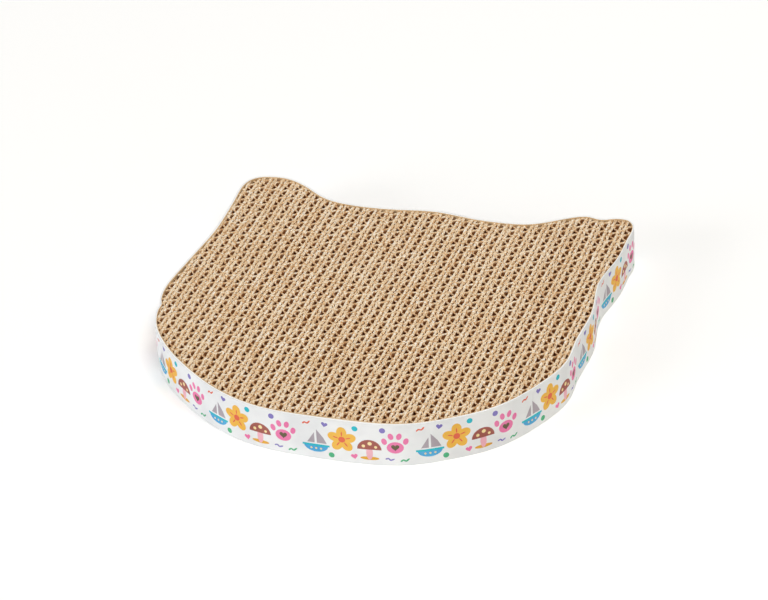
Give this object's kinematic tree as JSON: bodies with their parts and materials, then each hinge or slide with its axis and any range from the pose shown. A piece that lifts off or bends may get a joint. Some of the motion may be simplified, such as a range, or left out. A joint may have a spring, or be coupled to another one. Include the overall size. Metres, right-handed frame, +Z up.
{
  "type": "cat scratching board",
  "caption": "Flat cat-head-shaped scratching board of glued corrugated cardboard strips on edge, wrapped in a printed paper side band.",
  "frame": {"origin": "middle of the underside: the centre of the bounding box in X and Y, and its lowest face in Z", "axes": "+Z up out of the scratching face, +X towards the ear on the right as seen from the chin, +Y from the chin to the ears"},
  "size_m": [0.2572, 0.2476, 0.0275],
  "materials": {
    "cardboard": "raw kraft corrugated cardboard, matt, cut edges",
    "band_paper": "white coated paper with a satin surface, small printed pattern"
  },
  "bodies": {
    "root": {"strip_01": "cardboard", "strip_02": "cardboard", "strip_03": "cardboard", "strip_04": "cardboard", "strip_05": "cardboard", "strip_06": "cardboard", "strip_07": "cardboard", "strip_08": "cardboard", "strip_09": "cardboard", "strip_10": "cardboard", "strip_11": "cardboard", "strip_12": "cardboard", "strip_13": "cardboard", "strip_14": "cardboard", "strip_15": "cardboard", "strip_16": "cardboard", "strip_17": "cardboard", "strip_18": "cardboard", "strip_19": "cardboard", "strip_20": "cardboard", "strip_21": "cardboard", "strip_22": "cardboard", "strip_23": "cardboard", "strip_24": "cardboard", "strip_25": "cardboard", "strip_26": "cardboard", "strip_27": "cardboard", "strip_28": "cardboard", "strip_29": "cardboard", "strip_30": "cardboard", "strip_31": "cardboard", "strip_32": "cardboard", "strip_33": "cardboard", "strip_34": "cardboard", "side_band": "band_paper"}
  },
  "joints": []
}
